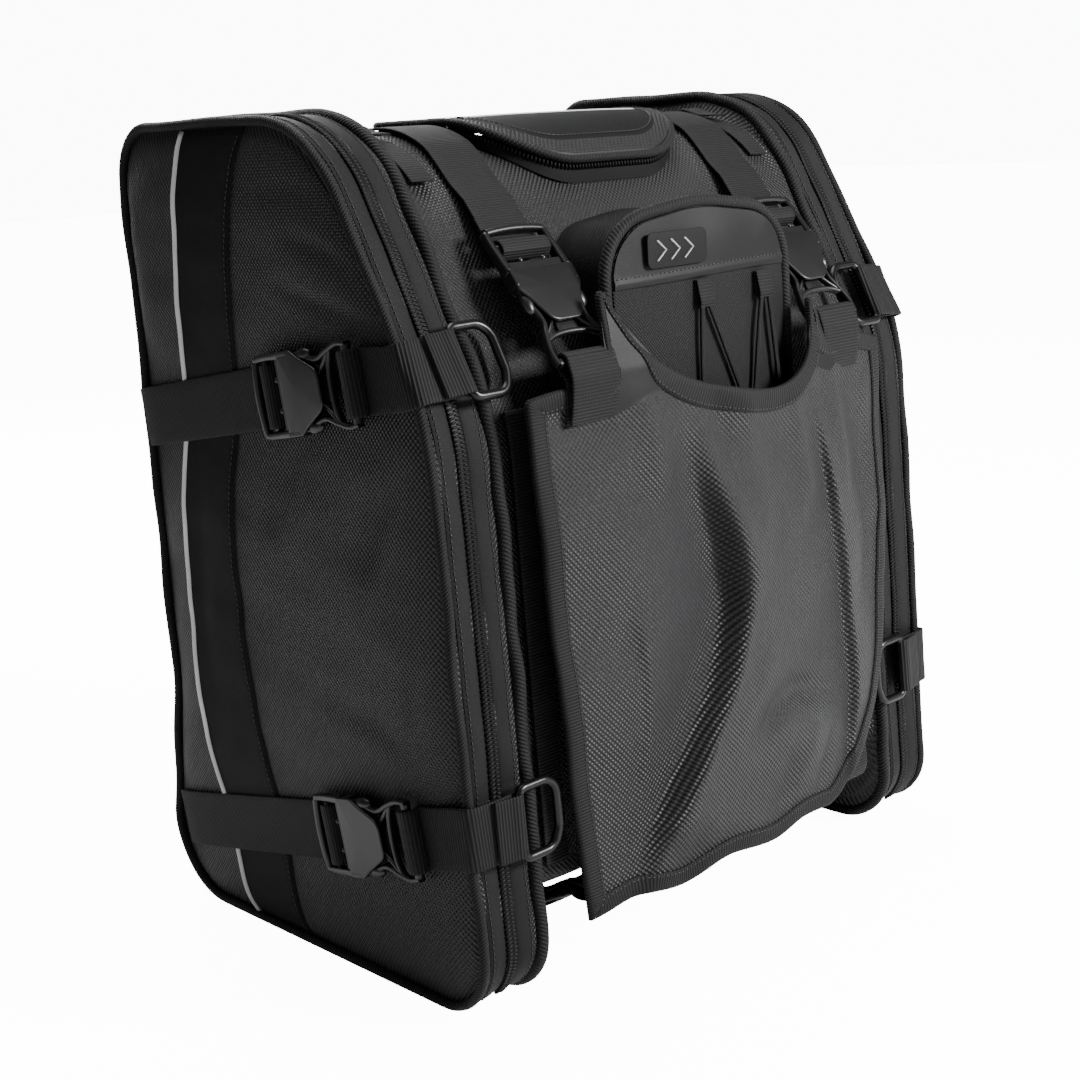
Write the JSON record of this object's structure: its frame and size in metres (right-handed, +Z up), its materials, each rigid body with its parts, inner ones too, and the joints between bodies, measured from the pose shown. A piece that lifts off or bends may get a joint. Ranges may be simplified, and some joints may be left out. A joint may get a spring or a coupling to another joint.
{
  "type": "motorcycle tail bag",
  "caption": "Upright soft tail bag with two zipped side compartments, front pocket under a buckled flap, D-rings, compression straps and a lidded top pocket.",
  "frame": {"origin": "middle of the overall box at the height of the base", "axes": "+X across the bag, to the right seen from the flap side; -Y out of the flap side; +Z up"},
  "size_m": [0.4624, 0.344, 0.522],
  "materials": {
    "woven_fabric": "coarse basket weave nylon",
    "coated_fabric": "smooth coated fabric with a fine grain",
    "piping_fabric": "fabric-covered piping and binding",
    "fine_fabric": "fine dark weave",
    "reflective": "silver-grey reflective trim",
    "buckle_plastic": "satin moulded acetal",
    "dark_metal": "black-plated wire and die casting",
    "coil_plastic": "nylon coil",
    "emblem": "soft moulded badge",
    "elastic_cord": "braided elastic",
    "webbing": "ribbed nylon webbing",
    "board": "polyethylene board"
  },
  "bodies": {
    "root": {"back_panel": "woven_fabric", "base_board": "board", "base_panel": "coated_fabric", "bottom_straps": "webbing", "buckle_tongues_flap_lower": "buckle_plastic", "buckle_tongues_flap_upper": "buckle_plastic", "buckle_tongues_side_lower": "buckle_plastic", "buckle_tongues_side_upper": "buckle_plastic", "bungee_cord": "elastic_cord", "bungee_tabs": "webbing", "d_ring_tabs": "webbing", "emblem_patch": "emblem", "flap_binding": "piping_fabric", "flap_loops": "webbing", "flap_panel": "woven_fabric", "flap_reinforcements": "coated_fabric", "front_pocket": "woven_fabric", "front_pocket_piping": "piping_fabric", "front_webbing": "webbing", "inner_piping": "piping_fabric", "main_bag_shell": "woven_fabric", "outer_piping": "piping_fabric", "pocket_band": "coated_fabric", "reflective_cords": "reflective", "side_bands": "fine_fabric", "side_compartment_left": "woven_fabric", "side_compartment_right": "woven_fabric", "side_panels": "woven_fabric", "side_straps_front": "webbing", "side_straps_rear": "webbing", "side_zip_coils": "coil_plastic", "side_zip_tapes": "fine_fabric", "top_pocket_wall": "woven_fabric", "top_straps": "webbing", "top_zip_coil": "coil_plastic", "wall_boards": "board"},
    "housing_side_upper_left": {"buckle_housing_side_upper_left": "buckle_plastic"},
    "housing_side_upper_right": {"buckle_housing_side_upper_right": "buckle_plastic"},
    "housing_side_lower_left": {"buckle_housing_side_lower_left": "buckle_plastic"},
    "housing_side_lower_right": {"buckle_housing_side_lower_right": "buckle_plastic"},
    "housing_flap_upper_left": {"buckle_housing_flap_upper_left": "buckle_plastic"},
    "housing_flap_upper_right": {"buckle_housing_flap_upper_right": "buckle_plastic"},
    "housing_flap_lower_left": {"buckle_housing_flap_lower_left": "buckle_plastic"},
    "housing_flap_lower_right": {"buckle_housing_flap_lower_right": "buckle_plastic"},
    "ring_upper_left": {"d_ring_upper_left": "dark_metal"},
    "ring_upper_right": {"d_ring_upper_right": "dark_metal"},
    "ring_lower_left": {"d_ring_lower_left": "dark_metal"},
    "ring_lower_right": {"d_ring_lower_right": "dark_metal"},
    "ring_top_left": {"d_ring_top_left": "dark_metal"},
    "ring_top_right": {"d_ring_top_right": "dark_metal"},
    "side_slider_left": {"side_zip_slider_left": "dark_metal"},
    "side_pull_left": {"side_zip_pull_left": "dark_metal"},
    "side_slider_right": {"side_zip_slider_right": "dark_metal"},
    "side_pull_right": {"side_zip_pull_right": "dark_metal"},
    "top_slider": {"top_zip_slider": "dark_metal"},
    "top_pull": {"top_zip_pull": "dark_metal"},
    "lid": {"lid_shell": "woven_fabric", "lid_piping": "piping_fabric", "lid_panel": "coated_fabric", "lid_reflective_strip": "reflective"}
  },
  "joints": [
    {"name": "release_side_upper_left", "type": "slide", "parent": "root", "child": "housing_side_upper_left", "axis": [0, 0.987, -0.1609], "range_m": [0, 0.035]},
    {"name": "release_side_upper_right", "type": "slide", "parent": "root", "child": "housing_side_upper_right", "axis": [0, 0.987, -0.1609], "range_m": [0, 0.035]},
    {"name": "release_side_lower_left", "type": "slide", "parent": "root", "child": "housing_side_lower_left", "axis": [0, 0.9803, -0.1973], "range_m": [0, 0.035]},
    {"name": "release_side_lower_right", "type": "slide", "parent": "root", "child": "housing_side_lower_right", "axis": [0, 0.9803, -0.1973], "range_m": [0, 0.035]},
    {"name": "release_flap_upper_left", "type": "slide", "parent": "root", "child": "housing_flap_upper_left", "axis": [0, 0.6, 0.8], "range_m": [0, 0.028]},
    {"name": "release_flap_upper_right", "type": "slide", "parent": "root", "child": "housing_flap_upper_right", "axis": [0, 0.6, 0.8], "range_m": [0, 0.028]},
    {"name": "release_flap_lower_left", "type": "slide", "parent": "root", "child": "housing_flap_lower_left", "axis": [0, 0.879, -0.4768], "range_m": [0, 0.024]},
    {"name": "release_flap_lower_right", "type": "slide", "parent": "root", "child": "housing_flap_lower_right", "axis": [0, 0.879, -0.4768], "range_m": [0, 0.024]},
    {"name": "swing_ring_upper_left", "type": "hinge", "parent": "root", "child": "ring_upper_left", "pos_m": [-0.1855, -0.12617, 0.38127], "axis": [0, -0.4686, -0.8834], "range_deg": [0, 140]},
    {"name": "swing_ring_upper_right", "type": "hinge", "parent": "root", "child": "ring_upper_right", "pos_m": [0.1855, -0.12617, 0.38127], "axis": [0, 0.4686, 0.8834], "range_deg": [0, 140]},
    {"name": "swing_ring_lower_left", "type": "hinge", "parent": "root", "child": "ring_lower_left", "pos_m": [-0.1855, -0.15165, 0.11804], "axis": [0, -0.0514, -0.9987], "range_deg": [0, 140]},
    {"name": "swing_ring_lower_right", "type": "hinge", "parent": "root", "child": "ring_lower_right", "pos_m": [0.1855, -0.15165, 0.11804], "axis": [0, 0.0514, 0.9987], "range_deg": [0, 140]},
    {"name": "swing_ring_top_left", "type": "hinge", "parent": "root", "child": "ring_top_left", "pos_m": [-0.1506, -0.0029, 0.507], "axis": [1, 0, 0], "range_deg": [0, 150]},
    {"name": "swing_ring_top_right", "type": "hinge", "parent": "root", "child": "ring_top_right", "pos_m": [0.1506, -0.0029, 0.507], "axis": [1, 0, 0], "range_deg": [0, 150]},
    {"name": "zip_slide_left", "type": "slide", "parent": "root", "child": "side_slider_left", "axis": [0, 0, 1], "range_m": [0, 0.058]},
    {"name": "pull_swing_left", "type": "hinge", "parent": "side_slider_left", "child": "side_pull_left", "pos_m": [-0.194, 0.15995, 0.41465], "axis": [1, 0, 0], "range_deg": [0, 150]},
    {"name": "zip_slide_right", "type": "slide", "parent": "root", "child": "side_slider_right", "axis": [0, 0, 1], "range_m": [0, 0.058]},
    {"name": "pull_swing_right", "type": "hinge", "parent": "side_slider_right", "child": "side_pull_right", "pos_m": [0.194, 0.15995, 0.41465], "axis": [1, 0, 0], "range_deg": [0, 150]},
    {"name": "zip_slide_top", "type": "slide", "parent": "root", "child": "top_slider", "axis": [0, -1, 0], "range_m": [0, 0.04]},
    {"name": "pull_swing_top", "type": "hinge", "parent": "top_slider", "child": "top_pull", "pos_m": [0.09455, 0.04445, 0.5093], "axis": [0, 0, -1], "range_deg": [0, 120]},
    {"name": "lid_open", "type": "hinge", "parent": "root", "child": "lid", "pos_m": [0, 0.0596, 0.5105], "axis": [-1, 0, 0], "range_deg": [0, 105]}
  ]
}
